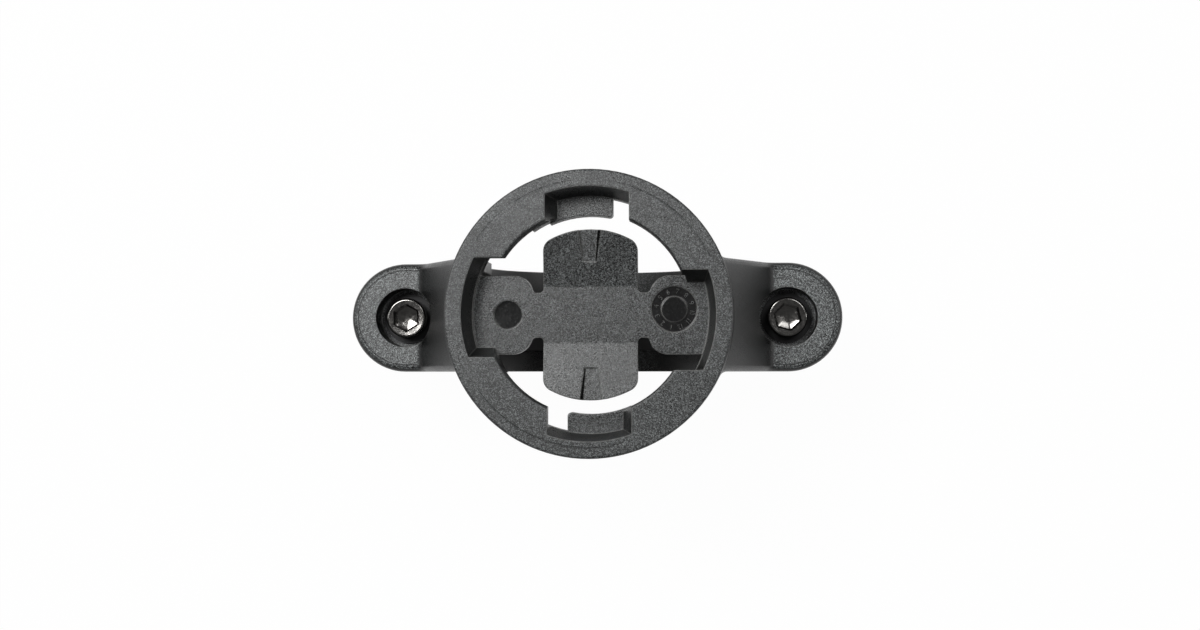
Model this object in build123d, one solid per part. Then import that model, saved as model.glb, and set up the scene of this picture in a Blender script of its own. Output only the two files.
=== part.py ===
from build123d import *
import math
import os

# Quarter-turn socket for a bicycle light, clamped to a handlebar. All lengths in mm.
# Origin on the handlebar axis under the middle of the socket ring.
# X runs from ear to ear, Y along the handlebar, Z from the handlebar up to the light.

# handlebar and clamp
bar_r = 15.9
clamp_inner_r = 16.4
pocket_r = 17.4
strap_outer_r = 20.4
clamp_half_width = 7.5
rubber_half_width = 4.3
split_half_gap = 0.8

# ears and arms
screw_x = 26.5
ear_top_z = 8.0
ear_bottom_z = -8.0
arm_inner_x = 14.45
slope_foot_x = 24.3
slope_head_x = 16.95
slope_head_z = 21.4
slope_foot_round = 1.5
arm_edge_round = 0.9
arm_root_round = 1.0
lower_edge_chamfer = 0.6
lower_root_round = 1.2
counterbore_r = 4.1
counterbore_floor_z = 3.8
screw_hole_r = 1.7

# ring
ring_top_z = 24.0
ring_bottom_z = 16.6
ring_outer_top_r = 18.75
ring_outer_bottom_r = 18.88
ring_outer_round = 0.3
cavity_r = 15.6
lip_bottom_z = 21.8
lip_top_r = 13.25
lip_bottom_r = 13.15
lip_edge_break = 0.2

# four notches, each read clockwise from its stop wall to its free end
notch_rim_top_r = 16.5
notch_rim_foot_r = 15.7
notch_foot_z = 19.0
notch_clearance = 0.3
stop_top_offset = 5.6
stop_foot_offset = 4.35
short_notch_end = 5.3
long_notch_end = 7.3
stop_block_end = 7.6
stop_block_inner_r = 13.45

# ledges in the two short notches
ledge_top_z = 19.0
ledge_inner_r = 13.1
ledge_end = 3.0
ledge_root = 5.3
ledge_corner_round = 0.5

# cross plate
plate_top_z = 18.3
plate_bottom_z = 16.7
waist_half_width = 2.95
tongue_half_width = 6.25
tongue_bend_y = 3.75
tongue_tip_r = 11.3
tongue_rise = 1.0
tongue_corner_round = 1.7
lobe_inner_x = 7.75
lobe_half_width = 5.2
lobe_small_round = 2.3
lobe_large_round = 2.7
waist_corner_round = 0.55
rib_inner_x = 9.4
rib_half_width = 4.7
rib_corner_round = 1.4

# latch groove in each tongue tip
groove_start_y = 7.0
groove_end_y = 11.8
groove_start_half_width = 1.0
groove_end_half_width = 1.65
groove_start_depth = 0.3
groove_end_depth = 0.58
groove_headroom = 0.5

# round recess in the left lobe and date dial in the right lobe
recess_x = -11.0
recess_r = 1.9
recess_depth = 0.7
dial_x = 11.06
dial_y = 0.72
dial_outer_r = 3.04
dial_inner_r = 1.72
dial_depth = 0.3

# rubber
liner_start_angle = -172.0
liner_end_angle = -8.0
pad_start_angle = 4.0
pad_end_angle = 54.0

# fasteners
head_r = 2.75
head_bottom_z = 4.3
head_height = 3.0
head_edge_round = 0.3
key_width = 3.0
key_depth = 1.7
key_chamfer = 0.27
key_turn_left = 32.0
key_turn_right = -16.0
shank_r = 1.5
shank_length = 12.0
shank_end_chamfer = 0.3
washer_r = 3.5
washer_bore_r = 1.6
washer_height = 0.5
nut_width = 5.5
nut_height = 2.4
nut_top_z = -5.0
nut_edge_angle = 30.0
nut_pocket_width = 5.6

reach = 60.0


def block(x0, x1, y0, y1, z0, z1):
    middle = Pos((x0 + x1) / 2, (y0 + y1) / 2, (z0 + z1) / 2)
    return middle * Box(x1 - x0, y1 - y0, z1 - z0)


def disc(radius, z0, z1, x=0.0, y=0.0):
    return Pos(x, y, (z0 + z1) / 2) * Cylinder(radius, z1 - z0)


def bar_cylinder(radius, half_length):
    return Rot(90, 0, 0) * Cylinder(radius, 2 * half_length)


def side_slab(points, half_width):
    face = Plane.XZ * make_face(Polyline(*points, close=True))
    return extrude(face, amount=half_width, both=True)


def hexagon(width, z0, z1, turn=0.0):
    corner_r = width / 2 / math.cos(math.radians(30))
    face = Pos(0, 0, z0) * Rot(0, 0, turn) * RegularPolygon(corner_r, 6)
    return extrude(face, amount=z1 - z0)


def arc_band(inner_r, outer_r, start, end, half_width):
    sweep_angle = end - start
    outer = CenterArc((0, 0), outer_r, start, sweep_angle)
    inner = CenterArc((0, 0), inner_r, start, sweep_angle)
    first = Line(inner @ 0, outer @ 0)
    last = Line(inner @ 1, outer @ 1)
    face = Plane.XZ * make_face([outer, inner, first, last])
    return extrude(face, amount=half_width, both=True)


def ring_wall():
    side = ring_outer_round * (1 - math.cos(math.radians(30)))
    down = ring_outer_round * (1 - math.sin(math.radians(30)))
    points = [
        (cavity_r, ring_bottom_z),
        (ring_outer_bottom_r, ring_bottom_z),
        (ring_outer_top_r, ring_top_z - ring_outer_round),
        (ring_outer_top_r - side, ring_top_z - down),
        (ring_outer_top_r - down, ring_top_z - side),
        (ring_outer_top_r - ring_outer_round, ring_top_z),
        (lip_top_r + lip_edge_break, ring_top_z),
        (lip_top_r + 0.3 * lip_edge_break, ring_top_z - 0.3 * lip_edge_break),
        (lip_top_r, ring_top_z - lip_edge_break),
        (lip_bottom_r, lip_bottom_z),
        (cavity_r, lip_bottom_z),
    ]
    face = make_face(Polyline(*points, close=True))
    return Rot(0, 0, 45) * revolve(Plane.XZ * face, Axis.Z, 360)


def notch_cut(free_end):
    cone_height = ring_top_z - notch_foot_z
    slope = (notch_rim_top_r - notch_rim_foot_r) / cone_height
    over = 1.0
    top_r = notch_rim_top_r + slope * over
    cone = Pos(0, 0, (notch_foot_z + ring_top_z + over) / 2)
    cone = cone * Cone(notch_rim_foot_r, top_r, cone_height + over)
    lean = (stop_top_offset - stop_foot_offset) / cone_height
    points = [
        (-stop_foot_offset, notch_foot_z),
        (free_end, notch_foot_z),
        (free_end, ring_top_z + over),
        (-stop_top_offset - lean * over, ring_top_z + over),
    ]
    widest = max(free_end, stop_top_offset)
    inner_y = math.sqrt(lip_bottom_r**2 - widest**2) - notch_clearance
    wedge = Pos(0, cavity_r, 0) * side_slab(points, cavity_r - inner_y)
    return cone & wedge


def stop_block():
    band = disc(cavity_r + 0.4, ring_bottom_z, lip_bottom_z)
    band = band - disc(stop_block_inner_r, ring_bottom_z, lip_bottom_z)
    span = block(-stop_block_end, -stop_foot_offset, 0, reach, ring_bottom_z, lip_bottom_z)
    return band & span


def ledge():
    band = disc(cavity_r + 0.4, ring_bottom_z, ledge_top_z)
    band = band - disc(ledge_inner_r, ring_bottom_z, ledge_top_z)
    span = block(-ledge_root, ledge_end, 0, reach, ring_bottom_z, ledge_top_z)
    shelf = band & span
    free_face = shelf.faces().sort_by(Axis.X)[-1]
    inner_corner = free_face.edges().filter_by(Axis.Z).sort_by(Axis.Y)[0]
    return fillet(inner_corner, ledge_corner_round)


def tongue():
    lean = tongue_rise / (tongue_tip_r - tongue_bend_y)
    end_y = tongue_tip_r + 1.0
    end_rise = lean * (end_y - tongue_bend_y)
    points = [
        (0, plate_bottom_z),
        (tongue_bend_y, plate_bottom_z),
        (end_y, plate_bottom_z + end_rise),
        (end_y, plate_top_z + end_rise),
        (tongue_bend_y, plate_top_z),
        (0, plate_top_z),
    ]
    face = Plane.YZ * make_face(Polyline(*points, close=True))
    slab = extrude(face, amount=tongue_half_width, both=True)
    blank = slab & disc(tongue_tip_r, plate_bottom_z - 1, ring_top_z)
    upright = blank.edges().filter_by(Axis.Z)
    corners = upright.filter_by(lambda e: e.center().Y > tongue_bend_y + 1)
    blank = fillet(corners, tongue_corner_round)
    return blank - latch_groove(lean)


def groove_section(y, half_width, depth, top_z):
    floor_z = top_z - depth
    head_z = top_z + groove_headroom
    points = [
        (-half_width + 0.08, floor_z),
        (0.6 * half_width, floor_z),
        (half_width + 0.25, head_z),
        (-half_width - 0.05, head_z),
    ]
    plane = Plane(origin=(0, y, 0), x_dir=(1, 0, 0), z_dir=(0, -1, 0))
    return plane * make_face(Polyline(*points, close=True))


def latch_groove(lean):
    start_top = plate_top_z + lean * (groove_start_y - tongue_bend_y)
    end_top = plate_top_z + lean * (groove_end_y - tongue_bend_y)
    start = groove_section(groove_start_y, groove_start_half_width, groove_start_depth, start_top)
    end = groove_section(groove_end_y, groove_end_half_width, groove_end_depth, end_top)
    return loft([start, end], ruled=True)


def lobe_outline():
    wall_x = cavity_r + 0.4
    length = wall_x - lobe_inner_x
    outline = Pos((lobe_inner_x + wall_x) / 2, 0) * Rectangle(length, 2 * lobe_half_width)
    near, far = outline.vertices().group_by(Axis.X)[0].sort_by(Axis.Y)
    outline = fillet(near, lobe_small_round)
    far = outline.vertices().group_by(Axis.X)[0].sort_by(Axis.Y)[-1]
    outline = fillet(far, lobe_large_round)
    return outline & Circle(wall_x)


def flat_plate():
    outline = Rectangle(2 * (lobe_inner_x + 1), 2 * waist_half_width)
    outline = outline + Rectangle(2 * tongue_half_width, 2 * tongue_bend_y)
    for turn in (0, 180):
        outline = outline + Rot(0, 0, turn) * lobe_outline()
    corners = outline.vertices().filter_by(is_waist_corner)
    outline = fillet(corners, waist_corner_round)
    return Pos(0, 0, plate_bottom_z) * extrude(outline, amount=plate_top_z - plate_bottom_z)


def is_waist_corner(corner):
    beside_gap = tongue_half_width - 0.1 < abs(corner.X) < lobe_inner_x + 0.1
    return beside_gap and abs(abs(corner.Y) - waist_half_width) < 0.05


def cross_plate():
    plate = flat_plate()
    for turn in (0, 180):
        plate = plate + Rot(0, 0, turn) * tongue()
    return plate


def saddle_rib():
    solid = block(rib_inner_x, cavity_r + 0.4, -rib_half_width, rib_half_width, 0, plate_bottom_z + 0.1)
    inner_corners = solid.edges().filter_by(Axis.Z).group_by(Axis.X)[0]
    solid = fillet(inner_corners, rib_corner_round)
    return solid - bar_cylinder(clamp_inner_r, reach)


def upper_arm():
    points = [
        (0, split_half_gap),
        (screw_x + clamp_half_width, split_half_gap),
        (screw_x + clamp_half_width, ear_top_z),
        (slope_foot_x, ear_top_z),
        (slope_head_x, slope_head_z),
        (0, slope_head_z),
    ]
    face = make_face(Polyline(*points, close=True))
    foot = face.vertices().filter_by(lambda v: abs(v.X - slope_foot_x) < 0.01)
    face = fillet(foot, slope_foot_round)
    slab = extrude(Plane.XZ * face, amount=clamp_half_width, both=True)
    plan = disc(clamp_half_width, 0, reach / 2, screw_x)
    plan = plan + block(0, screw_x, -clamp_half_width, clamp_half_width, 0, reach / 2)
    arm = slab & plan
    first_cut = arm_edge_round * (2 - math.sqrt(2))
    second_cut = arm_edge_round * (math.tan(math.radians(22.5)) - math.tan(math.radians(11.25)))
    arm = chamfer(arm_rim(arm, 0), first_cut)
    return chamfer(arm_rim(arm, first_cut), second_cut)


def arm_rim(arm, inset):
    lowest = ear_top_z - inset - 0.01
    rim = arm.edges().filter_by(lambda e: lowest < (e @ 0.5).Z < slope_head_z - 0.1)
    sides = rim.filter_by(lambda e: lies_at(abs((e @ 0.5).Y), clamp_half_width, inset))
    ends = rim.filter_by(lambda e: (e @ 0.5).X > screw_x + 0.01)
    ends = ends.filter_by(lambda e: lies_at((e @ 0.5).Z, ear_top_z, inset))
    return sides + ends


def lies_at(value, level, inset):
    return abs(value - level) < 0.01 or abs(value - level + inset) < 0.01


def upper_ear_holes():
    bore = disc(screw_hole_r, 0, ear_top_z + 1, screw_x)
    return bore + disc(counterbore_r, counterbore_floor_z, reach / 2, screw_x)


def is_arm_root(edge):
    middle = edge @ 0.5
    radius = math.hypot(middle.X, middle.Y)
    on_wall = ring_outer_top_r - 0.02 < radius < ring_outer_bottom_r + 0.02
    beside_arm = abs(middle.Y) < clamp_half_width + 0.1
    below_face = ring_bottom_z + 0.1 < middle.Z < ring_top_z - 1.0
    return on_wall and beside_arm and below_face


def half_turns(solid):
    return solid + Rot(0, 0, 180) * solid


def socket_body():
    arms = half_turns(upper_arm() - upper_ear_holes())
    arms = arms - disc(cavity_r, 0, reach / 2)
    arms = arms - block(-arm_inner_x, arm_inner_x, -reach, reach, 0, ring_bottom_z)
    body = ring_wall() + arms
    body = fillet(body.edges().filter_by(is_arm_root), arm_root_round)
    inner = cross_plate() + half_turns(saddle_rib())
    for turn in (0, 90, 180, 270):
        inner = inner + Rot(0, 0, turn) * stop_block()
    inner = inner + half_turns(ledge())
    inner = inner & disc(cavity_r + 0.3, 0, ring_top_z)
    body = body + inner
    for turn in (0, 180):
        body = body - Rot(0, 0, turn) * notch_cut(short_notch_end)
    for turn in (90, 270):
        body = body - Rot(0, 0, turn) * notch_cut(long_notch_end)
    body = body - bar_cylinder(clamp_inner_r, reach)
    body = body - bar_cylinder(pocket_r, rubber_half_width)
    body = body - disc(recess_r, plate_top_z - recess_depth, ring_top_z, recess_x)
    dial = disc(dial_outer_r, plate_top_z - dial_depth, ring_top_z, dial_x, dial_y)
    dial = dial - disc(dial_inner_r, 0, ring_top_z, dial_x, dial_y)
    return body - dial


def lower_clamp():
    strap = arc_band(clamp_inner_r, strap_outer_r, -180, 0, clamp_half_width)
    ear = disc(clamp_half_width, ear_bottom_z, -split_half_gap, screw_x)
    ear = ear + block(
        clamp_inner_r, screw_x, -clamp_half_width, clamp_half_width, ear_bottom_z, -split_half_gap
    )
    shell = strap + half_turns(ear)
    shell = shell - block(-reach, reach, -reach, reach, -split_half_gap, reach)
    shell = shell - bar_cylinder(clamp_inner_r, reach)
    roots = shell.edges().filter_by(Axis.Y).filter_by(is_lower_root)
    shell = fillet(roots, lower_root_round)
    rim = shell.edges().filter_by(is_lower_rim)
    shell = chamfer(rim, lower_edge_chamfer)
    liner_pocket = bar_cylinder(pocket_r, rubber_half_width)
    liner_pocket = liner_pocket & lower_wedge()
    shell = shell - liner_pocket
    return shell - half_turns(lower_ear_holes())


def lower_wedge():
    return arc_band(1.0, strap_outer_r, liner_start_angle, liner_end_angle, clamp_half_width)


def is_lower_root(edge):
    middle = edge @ 0.5
    radius = math.hypot(middle.X, middle.Z)
    return abs(middle.Z - ear_bottom_z) < 0.01 and abs(radius - strap_outer_r) < 0.01


def is_lower_rim(edge):
    middle = edge @ 0.5
    radius = math.hypot(middle.X, middle.Z)
    if radius < strap_outer_r - 0.5 or middle.Z > -split_half_gap - 0.1:
        return False
    on_side = abs(abs(middle.Y) - clamp_half_width) < 0.01 and edge.length > 1.0
    on_end = abs(middle.X) > screw_x and abs(middle.Z - ear_bottom_z) < 0.01
    return on_side or on_end


def lower_ear_holes():
    bore = disc(screw_hole_r, ear_bottom_z - 1, 0, screw_x)
    pocket = hexagon(nut_pocket_width, ear_bottom_z - 1, nut_top_z)
    return bore + Pos(screw_x, 0, 0) * pocket


def screw(key_turn):
    head = disc(head_r, head_bottom_z, head_bottom_z + head_height)
    head_rim = head.edges().sort_by(Axis.Z)[-1]
    head = chamfer(head_rim, head_edge_round)
    top_z = head_bottom_z + head_height
    head = head - hexagon(key_width, top_z - key_depth, top_z, key_turn)
    mouth_width = key_width + 2 * key_chamfer
    mouth = Pos(0, 0, top_z) * Rot(0, 0, key_turn) * hexagon_face(mouth_width)
    throat = Pos(0, 0, top_z - key_chamfer) * Rot(0, 0, key_turn) * hexagon_face(key_width)
    head = head - loft([throat, mouth], ruled=True)
    head = head - drill_point(top_z - key_depth)
    shank = disc(shank_r, head_bottom_z - shank_length, head_bottom_z)
    shank_rim = shank.edges().sort_by(Axis.Z)[0]
    return head + chamfer(shank_rim, shank_end_chamfer)


def hexagon_face(width):
    return RegularPolygon(width / 2 / math.cos(math.radians(30)), 6)


def drill_point(floor_z):
    depth = key_width / 2 * math.tan(math.radians(25))
    return Pos(0, 0, floor_z - depth / 2) * Cone(0.05, key_width / 2, depth)


def washer():
    ring = disc(washer_r, counterbore_floor_z, counterbore_floor_z + washer_height)
    return ring - disc(washer_bore_r, 0, ear_top_z)


def nut():
    bottom_z = nut_top_z - nut_height
    prism = hexagon(nut_width, bottom_z, nut_top_z)
    corner_r = nut_width / 2 / math.cos(math.radians(30))
    rise = (corner_r - nut_width / 2) * math.tan(math.radians(nut_edge_angle))
    lathe = [
        (0, bottom_z),
        (nut_width / 2, bottom_z),
        (corner_r, bottom_z + rise),
        (corner_r, nut_top_z),
        (0, nut_top_z),
    ]
    turned = revolve(Plane.XZ * make_face(Polyline(*lathe, close=True)), Axis.Z, 360)
    return (prism & turned) - disc(shank_r, bottom_z, nut_top_z)


def lower_liner():
    return arc_band(bar_r, pocket_r, liner_start_angle, liner_end_angle, rubber_half_width)


def upper_pad():
    return arc_band(bar_r, pocket_r, pad_start_angle, pad_end_angle, rubber_half_width)


def at_screws(solid):
    left = Rot(0, 0, 180) * Pos(screw_x, 0, 0) * solid
    return left, Pos(screw_x, 0, 0) * solid


def save(solid, name):
    solid.label = name
    export_step(solid, "parts/" + name + ".step")


def build_all():
    os.makedirs("parts", exist_ok=True)
    save(socket_body(), "socket_body")
    save(lower_clamp(), "lower_clamp")
    save(lower_liner(), "lower_liner")
    save(upper_pad(), "right_pad")
    save(Rot(0, 0, 180) * upper_pad(), "left_pad")
    save(Pos(-screw_x, 0, 0) * screw(key_turn_left), "left_screw")
    save(Pos(screw_x, 0, 0) * screw(key_turn_right), "right_screw")
    left_washer, right_washer = at_screws(washer())
    save(left_washer, "left_washer")
    save(right_washer, "right_washer")
    left_nut, right_nut = at_screws(nut())
    save(left_nut, "left_nut")
    save(right_nut, "right_nut")


build_all()
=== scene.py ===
import math
import bmesh
import bpy
from mathutils import Euler, Matrix, Vector


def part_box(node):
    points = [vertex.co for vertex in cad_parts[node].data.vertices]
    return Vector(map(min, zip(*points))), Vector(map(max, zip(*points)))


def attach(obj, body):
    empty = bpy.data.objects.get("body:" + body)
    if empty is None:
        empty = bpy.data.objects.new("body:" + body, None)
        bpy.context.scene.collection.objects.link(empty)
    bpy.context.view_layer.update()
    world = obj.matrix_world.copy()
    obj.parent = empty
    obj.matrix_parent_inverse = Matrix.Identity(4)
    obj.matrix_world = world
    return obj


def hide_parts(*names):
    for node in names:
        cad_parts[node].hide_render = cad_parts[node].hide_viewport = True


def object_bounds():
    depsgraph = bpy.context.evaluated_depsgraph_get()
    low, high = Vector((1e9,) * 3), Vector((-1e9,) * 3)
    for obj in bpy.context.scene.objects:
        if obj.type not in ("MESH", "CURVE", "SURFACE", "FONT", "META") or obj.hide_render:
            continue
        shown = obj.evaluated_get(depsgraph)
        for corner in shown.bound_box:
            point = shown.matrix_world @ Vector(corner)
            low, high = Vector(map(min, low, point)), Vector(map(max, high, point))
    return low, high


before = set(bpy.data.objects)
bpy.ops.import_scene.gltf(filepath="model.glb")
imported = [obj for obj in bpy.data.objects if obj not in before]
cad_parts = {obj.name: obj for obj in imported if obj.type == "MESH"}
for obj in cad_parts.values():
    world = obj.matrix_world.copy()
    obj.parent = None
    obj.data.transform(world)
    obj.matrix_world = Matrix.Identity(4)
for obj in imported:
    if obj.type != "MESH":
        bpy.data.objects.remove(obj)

# Quarter-turn handlebar mount for a bicycle light: socket ring, clamp, rubber grips, screws.
# X runs from ear to ear, Y along the handlebar, Z up to the light.
# Sizes and places are in millimetres, but for the lamps, the floor and the camera's clipping in metres.

cad_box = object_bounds()
MM = 0.001


def box_mm(node_name):
    """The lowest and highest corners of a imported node, in millimetres."""
    return [[round(place / MM, 3) for place in corner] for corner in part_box(node_name)]


screw_low, screw_high = box_mm("right_screw")
clamp_high = box_mm("lower_clamp")[1]

# The socket ring and the cross plate inside it
RING_TOP_Z = box_mm("socket_body")[1][2]
RING_LINE_R = 17.3
PLATE_R = 14.4
PLATE_FADE = 0.1
PLATE_TOP_Z = 18.3
PLATE_HEIGHT_REACH = 0.9
PLATE_HEIGHT_FADE = 0.2

# The ears: the rim of each is a half circle round its screw
SCREW_X = clamp_high[0] - clamp_high[1]
EAR_TOP_Z = 8.0
EAR_HEIGHT_REACH = 0.1
EAR_HEIGHT_FADE = 0.1
EAR_LINE_R = 6.55

# The date dial in the right lobe, the disc in its middle, and the round recess in the left lobe
DIAL_X = 11.06
DIAL_Y = 0.72
DIAL_R = 3.04
DIAL_FLOOR_Z = 18.0
DISC_R = 1.75
RECESS_X = -11.0
RECESS_R = 1.9
RECESS_FLOOR_Z = 17.6
PIN_FADE = 0.03
PIN_HEIGHT_FADE = 0.02

# The month numbers on the dial
DIGIT_RING_R = 2.38
DIGIT_HEIGHT = 0.95
DIGIT_HALF_DEPTH = 0.05
DIGIT_MIDDLE_Z = DIAL_FLOOR_Z + 0.04
TWO_DIGIT_SQUEEZE = 0.72
MONTH_DEGREES = 30
TOP_MONTH = 7
DIAL_TURN_DEGREES = 10
WELD_REACH = 0.0005

# The M3 socket screws. Loops that would lie in one plane are set a little apart in height,
# because bridging pairs their corners wrongly otherwise. A support loop just inside the rounded rim
# keeps the rim's shading off the flat top.
HEAD_TOP_Z = screw_high[2]
HEAD_BOTTOM_Z = box_mm("right_washer")[1][2]
SCREW_TIP_Z = screw_low[2]
HEAD_R = 2.75
HEAD_EDGE = 0.3
HEAD_FOOT_CHAMFER = 0.12
HEAD_DISH = 0.03
RIM_SUPPORT_R = HEAD_R - HEAD_EDGE - 0.06
RIM_SUPPORT_DROP = 0.004
KEY_WIDTH = 3.0
KEY_MOUTH_WIDTH = 3.54
KEY_CHAMFER = 0.27
KEY_DEPTH = 1.7
KEY_CONE_DEGREES = 14
LEFT_KEY_TURN = 32.0
RIGHT_KEY_TURN = -16.0
TIP_CHAMFER = 0.2
ROUND_STEPS = 48
RIM_STEPS = 4
SMOOTH_BELOW_DEGREES = 28

# The screws' thread: a ridge whose foot is sunk into the core, with half its width at crest and foot
THREAD_R = 1.5
THREAD_ROOT_R = 1.24
THREAD_PITCH = 0.5
THREAD_SUNK = 0.05
THREAD_HALF_CREST = 0.03
THREAD_HALF_FOOT = 0.24
THREAD_START_Z = SCREW_TIP_Z + 0.22
THREAD_TURNS = 23
THREAD_TURN_STEPS = 20

# The plastic's grain, and the fine lines on it
GRAIN_WIDTH = 0.1
GRAIN_CONTRAST = 3.0
PIT_WIDTH = 0.125
PIT_DEPTH = 0.04
EDGE_ROUNDING = 0.28
LINE_HALF_WIDTH = 0.04
EAR_LINE_FADE = 0.05
RING_LINE_FADE = 0.08
LINE_HEIGHT_REACH = 0.05
LINE_DEPTH_IN_PITS = 3.0
RING_LINE_CLOUDS_PER_MM = 0.07
RING_LINE_STRENGTH = 0.6
PIN_SMOOTHNESS = 0.85

# Painted shade and light by zone, as a share of the grain's colours: walls and slopes painted darker, the
# ear tops painted lighter, the cross plate painted a little darker. The lamps alone leave the zones more
# alike than they look in the photograph, and these painted shades make up for it. Nothing shows that the
# plastic differs there.
WALL_PAINTED_SHADE = 0.08
LEVEL_TONE = 0.86
EAR_PAINTED_LIGHT = 0.85
PLATE_PAINTED_SHADE = -0.1
UPWARD_FROM = 0.84
UPWARD_FULL = 0.97

# How closely a face agrees with the rounded edge beside it, at a sharp edge and away from it; this places
# the painted edge highlight
AGREEMENT_AT_EDGE = 0.75
AGREEMENT_OFF_EDGE = 0.97

# The plastic's gloss drifts over some millimetres between two roughnesses
GLOSS_CLOUDS_PER_MM = 0.16
ROUGHNESS_LOW = 0.22
ROUGHNESS_HIGH = 0.34

# Light: how much of the floor is plain white, how bright the room is, and how high the white walls
# reach, by the rise of a ray. By calculation a white card that faces up renders at 0.96 of white.
FLOOR_WHITE_SHARE = 0.975
FLOOR_HALF_WIDTH = 3.0
FLOOR_GAP = 0.0002
ROOM_STRENGTH = 0.14
WALL_RISE = 0.02
WALL_FADE = 0.08
LAMP_TARGET = (0.0, 0.0, 0.015)
LAMPS = (
    # name, place, width, height, watts
    ("upper_left_softbox", (-0.17, 0.15, 0.46), 0.17, 0.17, 1.55),
    ("upper_right_softbox", (0.155, 0.155, 0.46), 0.15, 0.15, 0.4),
    ("left_strip", (-0.43, 0.05, 0.25), 0.08, 0.3, 0.2),
    ("right_strip", (0.43, 0.05, 0.25), 0.08, 0.3, 0.35),
)

# The camera, fitted to the photograph
CAMERA_PLACE = (14.237, -7.386, 243.685)
CAMERA_TURN_DEGREES = (1.867, 3.301, -0.042)
CAMERA_FOCAL_PX = 1709.0
PHOTO_WIDTH_PX = 1200.0
SENSOR_WIDTH = 36.0
CLIP_START = 0.01
CLIP_END = 20.0


# Colour and nodes

def linear(hex_colour):
    """An sRGB hex colour as linear RGBA."""
    parts = [int(hex_colour[i:i + 2], 16) / 255 for i in (1, 3, 5)]
    rgb = [c / 12.92 if c <= 0.04045 else ((c + 0.055) / 1.055) ** 2.4 for c in parts]
    return (*rgb, 1.0)


def add_node(tree, kind, inputs=None, **settings):
    """Adds a node, sets its settings, and links or sets its inputs."""
    made = tree.nodes.new(kind)
    for name, value in settings.items():
        setattr(made, name, value)
    for key, value in (inputs or {}).items():
        if isinstance(value, bpy.types.NodeSocket):
            tree.links.new(value, made.inputs[key])
        else:
            made.inputs[key].default_value = value
    return made


def start_material(name):
    """A new material with an empty node tree."""
    material = bpy.data.materials.new(name)
    material.use_nodes = True
    material.node_tree.nodes.clear()
    return material, material.node_tree


def finish_material(tree, surface):
    """The surface shader with its settings, joined to the material's output."""
    shader = add_node(tree, "ShaderNodeBsdfPrincipled", surface)
    add_node(tree, "ShaderNodeOutputMaterial", {"Surface": shader.outputs["BSDF"]})


def millimetres(tree):
    """Object coordinates in millimetres."""
    place = add_node(tree, "ShaderNodeTexCoord")
    return add_node(
        tree, "ShaderNodeVectorMath",
        {0: place.outputs["Object"], "Scale": 1.0 / MM}, operation="SCALE",
    ).outputs["Vector"]


def flat_place(tree, mm):
    """The place over the XY plane, with its height taken out."""
    return add_node(
        tree, "ShaderNodeVectorMath", {0: mm, 1: (1.0, 1.0, 0.0)}, operation="MULTIPLY",
    ).outputs["Vector"]


def joined(tree, shares, operation):
    """Shares joined into one: MULTIPLY keeps where all of them hold, MAXIMUM where any does."""
    result = shares[0]
    for share in shares[1:]:
        result = add_node(tree, "ShaderNodeMath", {0: result, 1: share}, operation=operation).outputs[0]
    return result


def changed_by(tree, value, changes):
    """A value with each change added to it, as far as that change's share goes."""
    for share, change in changes:
        value = add_node(
            tree, "ShaderNodeMath", {0: share, 1: change, 2: value}, operation="MULTIPLY_ADD",
        ).outputs[0]
    return value


def within(tree, value, level, reach, fade):
    """One where a value is nearer to a level than reach, fading to nothing over fade."""
    off = add_node(tree, "ShaderNodeMath", {0: value, 1: level}, operation="SUBTRACT").outputs[0]
    off = add_node(tree, "ShaderNodeMath", {0: off}, operation="ABSOLUTE").outputs[0]
    return add_node(
        tree, "ShaderNodeMapRange",
        {"Value": off, "From Min": reach, "From Max": reach + fade, "To Min": 1.0, "To Max": 0.0},
        interpolation_type="SMOOTHSTEP",
    ).outputs["Result"]


def distance_from(tree, flat, centre):
    """How far a place is from an upright axis."""
    return add_node(
        tree, "ShaderNodeVectorMath", {0: flat, 1: centre}, operation="DISTANCE",
    ).outputs["Value"]


# The black nylon of the socket and the lower clamp

def pin_faces(tree, flat, height):
    """One on the date dial, its disc and the round recess, which are made smoother and darkened as painted
    shade.
    """
    dial = (DIAL_X, DIAL_Y, 0.0)
    recess = (RECESS_X, 0.0, 0.0)
    # Each zone's centre, radius, height, and how far above and below that height it reaches
    zones = (
        (dial, DIAL_R, DIAL_FLOOR_Z, 0.03),
        (dial, DISC_R, DIAL_FLOOR_Z, 0.5),
        (recess, RECESS_R, RECESS_FLOOR_Z, 0.2),
    )
    shares = []
    for centre, radius, level, reach in zones:
        round_share = within(tree, distance_from(tree, flat, centre), 0.0, radius, PIN_FADE)
        level_share = within(tree, height, level, reach, PIN_HEIGHT_FADE)
        shares.append(joined(tree, (round_share, level_share), "MULTIPLY"))
    return joined(tree, shares, "MAXIMUM")


def plate_face(tree, flat, height):
    """One on the cross plate and its tongues."""
    middle = (0.0, 0.0, 0.0)
    round_share = within(tree, distance_from(tree, flat, middle), 0.0, PLATE_R, PLATE_FADE)
    level_share = within(tree, height, PLATE_TOP_Z, PLATE_HEIGHT_REACH, PLATE_HEIGHT_FADE)
    return joined(tree, (round_share, level_share), "MULTIPLY")


def facing_up(tree):
    """One on faces that look straight up, none on slopes and walls."""
    normal = add_node(tree, "ShaderNodeTexCoord").outputs["Normal"]
    upward = add_node(tree, "ShaderNodeSeparateXYZ", {0: normal}).outputs["Z"]
    return add_node(
        tree, "ShaderNodeMapRange",
        {"Value": upward, "From Min": UPWARD_FROM, "From Max": UPWARD_FULL, "To Min": 0.0, "To Max": 1.0},
    ).outputs["Result"]


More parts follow.
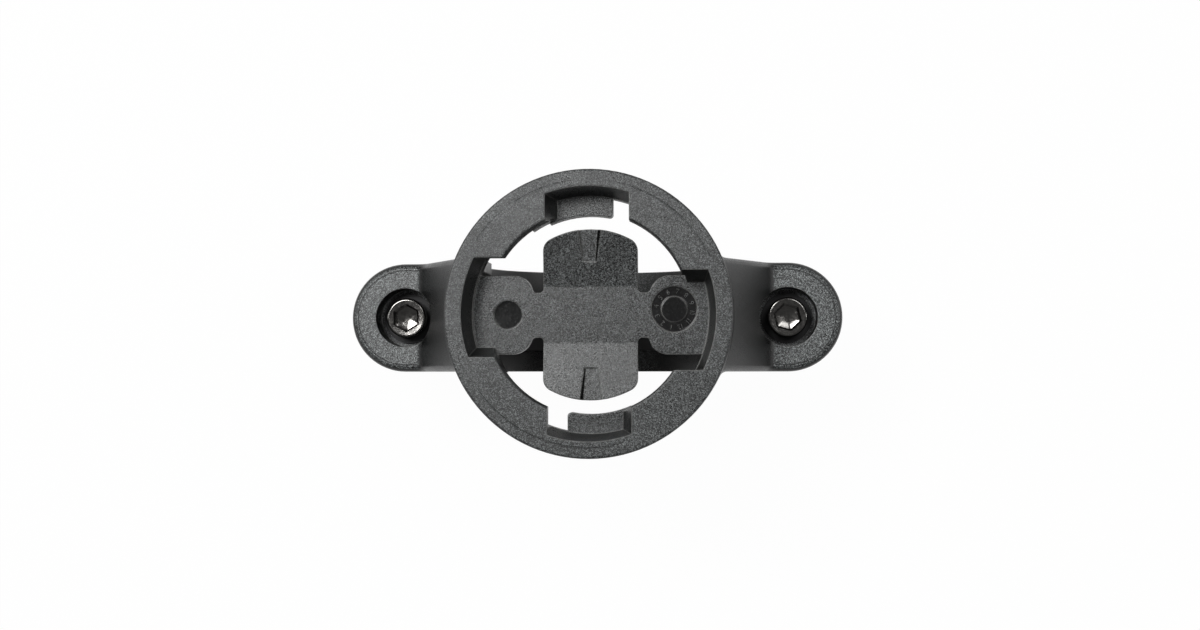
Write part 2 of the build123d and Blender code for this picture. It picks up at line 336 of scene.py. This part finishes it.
def pale_edges(tree, rounded_normal):
    """One along sharp edges, where a pale tint paints a highlight on the black plastic."""
    normal = add_node(tree, "ShaderNodeNewGeometry").outputs["Normal"]
    agreement = add_node(
        tree, "ShaderNodeVectorMath", {0: normal, 1: rounded_normal}, operation="DOT_PRODUCT",
    ).outputs["Value"]
    return add_node(
        tree, "ShaderNodeMapRange",
        {"Value": agreement, "From Min": AGREEMENT_AT_EDGE, "From Max": AGREEMENT_OFF_EDGE,
         "To Min": 1.0, "To Max": 0.0},
    ).outputs["Result"]


def ear_lines(tree, flat, height):
    """One on the fine line inside each ear's rim, which runs half round the screw and then straight."""
    axes = add_node(tree, "ShaderNodeSeparateXYZ", {0: flat})
    beyond = add_node(tree, "ShaderNodeMath", {0: axes.outputs["X"]}, operation="ABSOLUTE").outputs[0]
    beyond = add_node(tree, "ShaderNodeMath", {0: beyond, 1: SCREW_X}, operation="SUBTRACT").outputs[0]
    beyond = add_node(tree, "ShaderNodeMath", {0: beyond, 1: 0.0}, operation="MAXIMUM").outputs[0]
    from_ear = add_node(tree, "ShaderNodeCombineXYZ", {0: beyond, 1: axes.outputs["Y"]}).outputs[0]
    from_ear = add_node(tree, "ShaderNodeVectorMath", {0: from_ear}, operation="LENGTH").outputs["Value"]
    line = within(tree, from_ear, EAR_LINE_R, LINE_HALF_WIDTH, EAR_LINE_FADE)
    level_share = within(tree, height, EAR_TOP_Z, LINE_HEIGHT_REACH, LINE_HEIGHT_REACH)
    return joined(tree, (line, level_share), "MULTIPLY")


def ring_line(tree, mm, flat, height):
    """Part of one on the fine line round the ring's top, which comes and goes."""
    from_middle = distance_from(tree, flat, (0.0, 0.0, 0.0))
    line = within(tree, from_middle, RING_LINE_R, LINE_HALF_WIDTH, RING_LINE_FADE)
    level_share = within(tree, height, RING_TOP_Z, LINE_HEIGHT_REACH, LINE_HEIGHT_REACH)
    fading = add_node(
        tree, "ShaderNodeTexNoise", {"Vector": mm, "Scale": RING_LINE_CLOUDS_PER_MM, "Detail": 1.0},
    ).outputs["Fac"]
    fading = add_node(
        tree, "ShaderNodeMapRange",
        {"Value": fading, "From Min": 0.45, "From Max": 0.6, "To Min": 0.0, "To Max": RING_LINE_STRENGTH},
    ).outputs["Result"]
    return joined(tree, (line, level_share, fading), "MULTIPLY")


def nylon_tone(tree, height, plate):
    """Painted shade and light by zone: walls and slopes painted dark, ear tops painted light, the cross
    plate painted duller.
    """
    up = facing_up(tree)
    ear_height = within(tree, height, EAR_TOP_Z, EAR_HEIGHT_REACH, EAR_HEIGHT_FADE)
    ear = joined(tree, (up, ear_height), "MULTIPLY")
    painted_shading = add_node(
        tree, "ShaderNodeMapRange",
        {"Value": up, "From Min": 0.0, "From Max": 1.0, "To Min": WALL_PAINTED_SHADE, "To Max": LEVEL_TONE},
    ).outputs["Result"]
    return changed_by(tree, painted_shading, ((ear, EAR_PAINTED_LIGHT), (plate, PLATE_PAINTED_SHADE)))


def nylon_colour(tree, grain, painted_shading, tints):
    """The speckled black scaled by its zone's painted shade and light, drawn towards each tint where that
    tint's share is one.
    """
    pale_grain = add_node(
        tree, "ShaderNodeMath", {0: grain, 1: GRAIN_CONTRAST}, operation="POWER",
    ).outputs[0]
    colour = add_node(
        tree, "ShaderNodeMix",
        {"Factor": pale_grain, "A": linear("#0d0e0e"), "B": linear("#818585")},
        data_type="RGBA",
    ).outputs["Result"]
    colour = add_node(
        tree, "ShaderNodeVectorMath", {0: colour, "Scale": painted_shading}, operation="SCALE",
    ).outputs["Vector"]
    for share, amount, tint in tints:
        factor = joined(tree, (share, amount), "MULTIPLY")
        colour = add_node(
            tree, "ShaderNodeMix", {"Factor": factor, "A": colour, "B": linear(tint)}, data_type="RGBA",
        ).outputs["Result"]
    return colour


def nylon_roughness(tree, mm, grain, plate, pins):
    """Gloss that drifts softly over the part, duller on pale grains, shinier on the plate and the pins."""
    cloud = add_node(
        tree, "ShaderNodeTexNoise",
        {"Vector": mm, "Scale": GLOSS_CLOUDS_PER_MM, "Detail": 3.0, "Roughness": 0.5},
    ).outputs["Fac"]
    rough = add_node(
        tree, "ShaderNodeMapRange",
        {"Value": cloud, "From Min": 0.3, "From Max": 0.7,
         "To Min": ROUGHNESS_LOW, "To Max": ROUGHNESS_HIGH},
    ).outputs["Result"]
    return changed_by(tree, rough, ((grain, 0.16), (plate, -0.08), (pins, -0.14)))


def nylon_relief(tree, mm, pins, lines):
    """The height of the eroded pits, shallow on the pins, with the fine lines cut in."""
    pits = add_node(
        tree, "ShaderNodeTexNoise",
        {"Vector": mm, "Scale": 1.0 / PIT_WIDTH, "Detail": 2.0, "Roughness": 0.6},
    ).outputs["Fac"]
    eroded = changed_by(tree, 1.0, ((pins, -PIN_SMOOTHNESS),))
    relief = joined(tree, (pits, eroded), "MULTIPLY")
    return changed_by(tree, relief, ((lines, -LINE_DEPTH_IN_PITS),))


def spark_eroded_nylon():
    # Black glass-filled nylon, moulded in a spark-eroded tool. Its grains and glass ends catch the
    # light differently, so the dull black breaks into an even grey speckle. The grains are drawn
    # 0.1 mm wide, about as fine as the render can show. The date dial and the round recess are made
    # smoother, as polished pins would leave them, and carry painted shade. Walls and slopes carry painted
    # shade, the ear tops painted light, the cross plate a little painted shade, and sharp edges a painted
    # highlight.
    material, tree = start_material("spark_eroded_nylon")
    mm = millimetres(tree)
    flat = flat_place(tree, mm)
    height = add_node(tree, "ShaderNodeSeparateXYZ", {0: mm}).outputs["Z"]
    rounded_normal = add_node(
        tree, "ShaderNodeBevel", {"Radius": EDGE_ROUNDING * MM}, samples=6,
    ).outputs["Normal"]
    grains = add_node(
        tree, "ShaderNodeTexVoronoi", {"Vector": mm, "Scale": 1.0 / GRAIN_WIDTH, "Randomness": 1.0},
    ).outputs["Color"]
    grain = add_node(tree, "ShaderNodeSeparateColor", {"Color": grains}).outputs["Red"]
    pins = pin_faces(tree, flat, height)
    plate = plate_face(tree, flat, height)
    edges = pale_edges(tree, rounded_normal)
    lines = joined(tree, (ear_lines(tree, flat, height), ring_line(tree, mm, flat, height)), "MAXIMUM")
    # Tints: painted shade on the date dial, its disc and the recess; dark fine lines; a painted highlight
    # along sharp edges.
    tints = ((pins, 0.95, "#161616"), (lines, 0.8, "#0c0c0c"), (edges, 0.45, "#b4b4b1"))
    bump = add_node(
        tree, "ShaderNodeBump",
        {"Strength": 0.8, "Distance": PIT_DEPTH * MM, "Height": nylon_relief(tree, mm, pins, lines),
         "Normal": rounded_normal},
    ).outputs["Normal"]
    finish_material(tree, {
        "Base Color": nylon_colour(tree, grain, nylon_tone(tree, height, plate), tints),
        "Roughness": nylon_roughness(tree, mm, grain, plate, pins),
        "IOR": 1.53,
        "Normal": bump,
    })
    return material


# Rubber and steel

def clouded(tree, per_mm, detail, roughness, dark, light, strength, depth):
    """A fine cloud of so many patches per millimetre, with the colour and the bump that follow it."""
    cloud = add_node(
        tree, "ShaderNodeTexNoise",
        {"Vector": millimetres(tree), "Scale": per_mm, "Detail": detail, "Roughness": roughness},
    ).outputs["Fac"]
    colour = add_node(
        tree, "ShaderNodeMix", {"Factor": cloud, "A": linear(dark), "B": linear(light)}, data_type="RGBA",
    ).outputs["Result"]
    bump = add_node(
        tree, "ShaderNodeBump", {"Strength": strength, "Distance": depth * MM, "Height": cloud},
    ).outputs["Normal"]
    return cloud, colour, bump


def grip_rubber():
    # Black moulded rubber with a fine matt tool finish: almost no highlight, and a slightly uneven grey.
    material, tree = start_material("grip_rubber")
    _, colour, bump = clouded(
        tree, per_mm=6.0, detail=2.0, roughness=0.5,
        dark="#222221", light="#303030", strength=0.4, depth=0.02,
    )
    finish_material(tree, {"Base Color": colour, "Roughness": 0.75, "IOR": 1.52, "Normal": bump})
    return material


def dark_zinc_steel():
    # Dark zinc-plated screw steel: cold-forged and tumbled, so it shines through tiny dents and specks.
    material, tree = start_material("dark_zinc_steel")
    dents, colour, bump = clouded(
        tree, per_mm=2.6, detail=4.0, roughness=0.6,
        dark="#4a4948", light="#8f8d8a", strength=0.35, depth=0.012,
    )
    rough = add_node(
        tree, "ShaderNodeMapRange",
        {"Value": dents, "From Min": 0.3, "From Max": 0.7, "To Min": 0.1, "To Max": 0.2},
    ).outputs["Result"]
    finish_material(tree, {"Base Color": colour, "Metallic": 1.0, "Roughness": rough, "Normal": bump})
    return material


def black_oxide_steel():
    # Pressed washer steel, coloured a dull, nearly even blue-black.
    material, tree = start_material("black_oxide_steel")
    _, colour, bump = clouded(
        tree, per_mm=3.0, detail=3.0, roughness=0.6,
        dark="#08080a", light="#121214", strength=0.3, depth=0.02,
    )
    finish_material(tree, {"Base Color": colour, "Metallic": 0.3, "Roughness": 0.5, "Normal": bump})
    return material


# Pieces

def add_piece(name, bm, material):
    """A finished mesh as an object of its own, riding on the mount's one body."""
    bmesh.ops.recalc_face_normals(bm, faces=bm.faces)
    mesh = bpy.data.meshes.new(name)
    bm.to_mesh(mesh)
    bm.free()
    mesh.materials.append(material)
    piece = bpy.data.objects.new(name, mesh)
    bpy.context.scene.collection.objects.link(piece)
    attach(piece, "root")
    return piece


def to_metres(bm):
    """A mesh drawn in millimetres, brought to Blender's metres."""
    bmesh.ops.scale(bm, verts=bm.verts, vec=(MM, MM, MM))


def smooth_by_angle(piece, degrees):
    """Smooth shading, with edges kept sharp where faces meet at more than the angle."""
    for polygon in piece.data.polygons:
        polygon.use_smooth = True
    limit = math.radians(degrees)
    bm = bmesh.new()
    bm.from_mesh(piece.data)
    for edge in bm.edges:
        edge.smooth = len(edge.link_faces) == 2 and edge.calc_face_angle() < limit
    bm.to_mesh(piece.data)
    bm.free()


def loop_at(bm, radius, z):
    """A round loop of edges at a height."""
    made = bmesh.ops.create_circle(bm, segments=ROUND_STEPS, radius=radius)
    bmesh.ops.translate(bm, verts=made["verts"], vec=(0, 0, z))
    return made["verts"]


def hex_loop_at(bm, width, z, turn):
    """A loop of the same count as the round ones, drawn in to a hexagon."""
    verts = loop_at(bm, 1.0, z)
    for vert in verts:
        angle = math.degrees(math.atan2(vert.co.y, vert.co.x)) - turn
        off = math.radians((angle % 60) - 30)
        reach = width / 2 / math.cos(off)
        vert.co.x *= reach
        vert.co.y *= reach
    return verts


def edges_of(verts):
    """The edges that run between the given corners, each once and in the corners' order."""
    chosen = set(verts)
    found = [edge for vert in verts for edge in vert.link_edges if set(edge.verts) <= chosen]
    return list(dict.fromkeys(found))


def bridge(bm, rings):
    """Walls from each loop to the next."""
    loops = [edges_of(ring) for ring in rings]
    for first, second in zip(loops, loops[1:]):
        bmesh.ops.bridge_loops(bm, edges=first + second)


def cap(bm, verts, point_z=None):
    """Closes a loop: flat, or with a cone to a point at the height given."""
    made = bmesh.ops.contextual_create(bm, geom=edges_of(verts))
    if point_z is not None:
        poked = bmesh.ops.poke(bm, faces=made["faces"])
        for vert in poked["verts"]:
            vert.co.z = point_z


def add_thread(bm):
    """A helical ridge of one metric pitch, closed at both ends and sunk into the core."""
    foot_r = THREAD_ROOT_R - THREAD_SUNK
    profile = (
        (foot_r, -THREAD_HALF_FOOT),
        (THREAD_R, -THREAD_HALF_CREST),
        (THREAD_R, THREAD_HALF_CREST),
        (foot_r, THREAD_HALF_FOOT),
    )
    corners = [bm.verts.new((radius, 0, THREAD_START_Z + rise)) for radius, rise in profile]
    face = bm.faces.new(corners)
    bmesh.ops.spin(
        bm, geom=[face], cent=(0, 0, 0), axis=(0, 0, 1), dvec=(0, 0, THREAD_PITCH / THREAD_TURN_STEPS),
        angle=2 * math.pi * THREAD_TURNS, steps=THREAD_TURN_STEPS * THREAD_TURNS, use_merge=False,
    )


def socket_screw(name, x, turn, material, node_name):
    """M3 socket screw with a rounded rim, a broached hexagon with a chamfered mouth, and a real thread."""
    bm = bmesh.new()
    key_floor_z = HEAD_TOP_Z - KEY_DEPTH
    key_cone = KEY_WIDTH / 2 * math.tan(math.radians(KEY_CONE_DEGREES))
    rings = [
        hex_loop_at(bm, KEY_WIDTH, key_floor_z, turn),
        hex_loop_at(bm, KEY_WIDTH, HEAD_TOP_Z - KEY_CHAMFER, turn),
        hex_loop_at(bm, KEY_MOUTH_WIDTH, HEAD_TOP_Z - HEAD_DISH, turn),
        loop_at(bm, RIM_SUPPORT_R, HEAD_TOP_Z - RIM_SUPPORT_DROP),
    ]
    for step in range(RIM_STEPS + 1):
        angle = math.radians(90 - 90 / RIM_STEPS * step)
        radius = HEAD_R - HEAD_EDGE + HEAD_EDGE * math.cos(angle)
        rings.append(loop_at(bm, radius, HEAD_TOP_Z - HEAD_EDGE + HEAD_EDGE * math.sin(angle)))
    rings += [
        loop_at(bm, HEAD_R, HEAD_BOTTOM_Z + HEAD_FOOT_CHAMFER),
        loop_at(bm, HEAD_R - HEAD_FOOT_CHAMFER, HEAD_BOTTOM_Z),
        loop_at(bm, THREAD_ROOT_R, HEAD_BOTTOM_Z - HEAD_DISH),
        loop_at(bm, THREAD_ROOT_R, SCREW_TIP_Z + TIP_CHAMFER),
        loop_at(bm, THREAD_ROOT_R - TIP_CHAMFER, SCREW_TIP_Z),
    ]
    bridge(bm, rings)
    cap(bm, rings[0], key_floor_z - key_cone)
    cap(bm, rings[-1])
    add_thread(bm)
    bmesh.ops.translate(bm, verts=bm.verts, vec=(x, 0, 0))
    to_metres(bm)
    piece = add_piece(name, bm, material)
    smooth_by_angle(piece, SMOOTH_BELOW_DEGREES)
    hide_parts(node_name)


def month_number(month):
    """One month's number as a mesh of its own, lying at the origin."""
    curve = bpy.data.curves.new("month", "FONT")
    curve.body = str(month)
    curve.size = DIGIT_HEIGHT
    curve.align_x = "CENTER"
    curve.align_y = "CENTER"
    curve.extrude = DIGIT_HALF_DEPTH
    curve.resolution_u = 2
    holder = bpy.data.objects.new("month", curve)
    bpy.context.scene.collection.objects.link(holder)
    bpy.context.view_layer.update()
    mesh = bpy.data.meshes.new_from_object(holder)
    bpy.data.objects.remove(holder)
    bpy.data.curves.remove(curve)
    return mesh


def dial_digits(material):
    """Twelve raised month numbers, tops outwards, running clockwise round the date dial."""
    bm = bmesh.new()
    for month in range(1, 13):
        angle = math.radians(90 - (month - TOP_MONTH) * MONTH_DEGREES - DIAL_TURN_DEGREES)
        mesh = month_number(month)
        if month > 9:
            mesh.transform(Matrix.Diagonal((TWO_DIGIT_SQUEEZE, 1.0, 1.0, 1.0)))
        mesh.transform(Matrix.Rotation(angle - math.pi / 2, 4, "Z"))
        place = Vector((math.cos(angle), math.sin(angle), 0)) * DIGIT_RING_R
        mesh.transform(Matrix.Translation(place + Vector((DIAL_X, DIAL_Y, DIGIT_MIDDLE_Z))))
        bm.from_mesh(mesh)
        bpy.data.meshes.remove(mesh)
    bmesh.ops.remove_doubles(bm, verts=bm.verts, dist=WELD_REACH)
    to_metres(bm)
    add_piece("dial_digits", bm, material)


# Stage, light and camera

def white_stage(name, colour, white_share):
    """A pale surface that the camera sees as white, with a share of real shading kept for shadow."""
    material, tree = start_material(name)
    path = add_node(tree, "ShaderNodeLightPath").outputs
    seen = joined(
        tree, (path["Is Camera Ray"], path["Is Glossy Ray"], path["Is Transmission Ray"]), "MAXIMUM",
    )
    amount = joined(tree, (seen, white_share), "MULTIPLY")
    paper = add_node(tree, "ShaderNodeBsdfDiffuse", {"Color": linear(colour)})
    glow = add_node(tree, "ShaderNodeEmission", {"Color": linear("#ffffff"), "Strength": 1.0})
    mix = add_node(
        tree, "ShaderNodeMixShader",
        {0: amount, 1: paper.outputs["BSDF"], 2: glow.outputs["Emission"]},
    )
    add_node(tree, "ShaderNodeOutputMaterial", {"Surface": mix.outputs["Shader"]})
    return material


def add_floor():
    """A wide sheet of white paper just under the mount."""
    bm = bmesh.new()
    bmesh.ops.create_grid(bm, x_segments=1, y_segments=1, size=FLOOR_HALF_WIDTH)
    low = cad_box[0][2]
    bmesh.ops.translate(bm, verts=bm.verts, vec=(0, 0, low - FLOOR_GAP))
    mesh = bpy.data.meshes.new("floor")
    bm.to_mesh(mesh)
    bm.free()
    mesh.materials.append(white_stage("white_paper_floor", "#f4f4f2", FLOOR_WHITE_SHARE))
    floor = bpy.data.objects.new("floor", mesh)
    bpy.context.scene.collection.objects.link(floor)


def set_world():
    """White all round for the camera, and a dim room for light.

    Gloss sees the white only near the horizon, because a white ceiling would lie as a veil of
    reflected light over every face that looks up.
    """
    world = bpy.data.worlds.new("studio")
    bpy.context.scene.world = world
    world.use_nodes = True
    tree = world.node_tree
    tree.nodes.clear()
    path = add_node(tree, "ShaderNodeLightPath").outputs
    direction = add_node(tree, "ShaderNodeTexCoord").outputs["Generated"]
    rise = add_node(tree, "ShaderNodeSeparateXYZ", {0: direction}).outputs["Z"]
    low_gloss = joined(
        tree, (path["Is Glossy Ray"], within(tree, rise, 0.0, WALL_RISE, WALL_FADE)), "MULTIPLY",
    )
    seen = joined(tree, (path["Is Camera Ray"], path["Is Transmission Ray"], low_gloss), "MAXIMUM")
    room = add_node(tree, "ShaderNodeBackground", {"Color": linear("#ffffff"), "Strength": ROOM_STRENGTH})
    white = add_node(tree, "ShaderNodeBackground", {"Color": linear("#ffffff"), "Strength": 1.0})
    mix = add_node(
        tree, "ShaderNodeMixShader",
        {0: seen, 1: room.outputs["Background"], 2: white.outputs["Background"]},
    )
    add_node(tree, "ShaderNodeOutputWorld", {"Surface": mix.outputs["Shader"]})


def add_lamp(name, place, width, height, watts):
    """A rectangular lamp that looks at the mount."""
    lamp = bpy.data.lights.new(name, "AREA")
    lamp.shape = "RECTANGLE"
    lamp.size = width
    lamp.size_y = height
    lamp.energy = watts
    holder = bpy.data.objects.new(name, lamp)
    holder.location = place
    look = Vector(LAMP_TARGET) - Vector(place)
    holder.rotation_euler = look.to_track_quat("-Z", "Y").to_euler()
    bpy.context.scene.collection.objects.link(holder)


def add_camera():
    """The camera of the photograph, above the mount."""
    camera = bpy.data.cameras.new("camera")
    camera.sensor_fit = "HORIZONTAL"
    camera.sensor_width = SENSOR_WIDTH
    camera.lens = SENSOR_WIDTH * CAMERA_FOCAL_PX / PHOTO_WIDTH_PX
    camera.clip_start = CLIP_START
    camera.clip_end = CLIP_END
    holder = bpy.data.objects.new("camera", camera)
    holder.location = Vector(CAMERA_PLACE) * MM
    holder.rotation_euler = Euler([math.radians(a) for a in CAMERA_TURN_DEGREES], "XYZ")
    bpy.context.scene.collection.objects.link(holder)
    bpy.context.scene.camera = holder


# The mount

nylon = spark_eroded_nylon()
rubber = grip_rubber()
steel = dark_zinc_steel()
blue_black_steel = black_oxide_steel()

finishes = (
    (nylon, ("socket_body", "lower_clamp")),
    (rubber, ("lower_liner", "left_pad", "right_pad")),
    (steel, ("left_screw", "right_screw", "left_nut", "right_nut")),
    (blue_black_steel, ("left_washer", "right_washer")),
)
for finish, node_names in finishes:
    for node_name in node_names:
        for material_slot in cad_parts[node_name].material_slots:
            material_slot.material = finish

socket_screw("left_socket_screw", -SCREW_X, LEFT_KEY_TURN, steel, "left_screw")
socket_screw("right_socket_screw", SCREW_X, RIGHT_KEY_TURN, steel, "right_screw")
dial_digits(nylon)

add_floor()
set_world()
for lamp_settings in LAMPS:
    add_lamp(*lamp_settings)
add_camera()
bpy.context.scene.view_settings.view_transform = "Standard"
